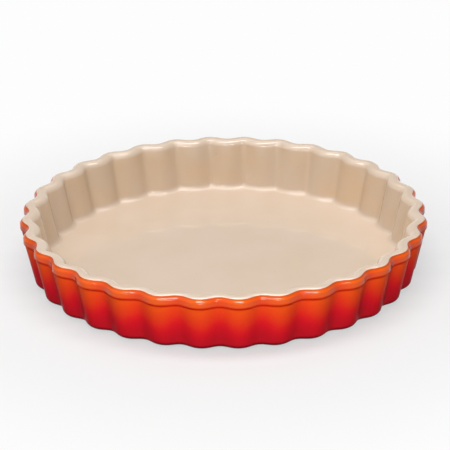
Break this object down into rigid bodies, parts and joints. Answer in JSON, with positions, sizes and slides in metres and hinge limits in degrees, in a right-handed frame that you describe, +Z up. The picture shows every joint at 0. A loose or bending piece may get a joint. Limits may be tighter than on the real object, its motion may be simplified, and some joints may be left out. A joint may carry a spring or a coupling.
{
  "type": "pie dish",
  "caption": "Round shallow fluted baking dish of glazed stoneware, cream inside, orange grading to red outside, with a raised collar under the rim and a bare foot ring.",
  "frame": {"origin": "on the table under the middle of the dish, in the plane of the foot ring", "axes": "+Z up along the dish's axis; a flute crest lies on each of +X, -X, +Y and -Y"},
  "size_m": [0.28, 0.28, 0.041],
  "materials": {
    "stoneware": "unglazed fired clay, ground smooth on the foot ring",
    "cream_glaze": "glossy cream glaze",
    "orange_glaze": "glossy orange glaze",
    "red_glaze": "glossy red glaze sprayed over the orange and feathered upwards",
    "underside_glaze": "glossy red-orange glaze"
  },
  "bodies": {
    "root": {"stoneware_body": "stoneware", "inner_glaze": "cream_glaze", "outer_glaze": "orange_glaze", "red_overspray": "red_glaze", "underside_glaze": "underside_glaze"}
  },
  "joints": []
}
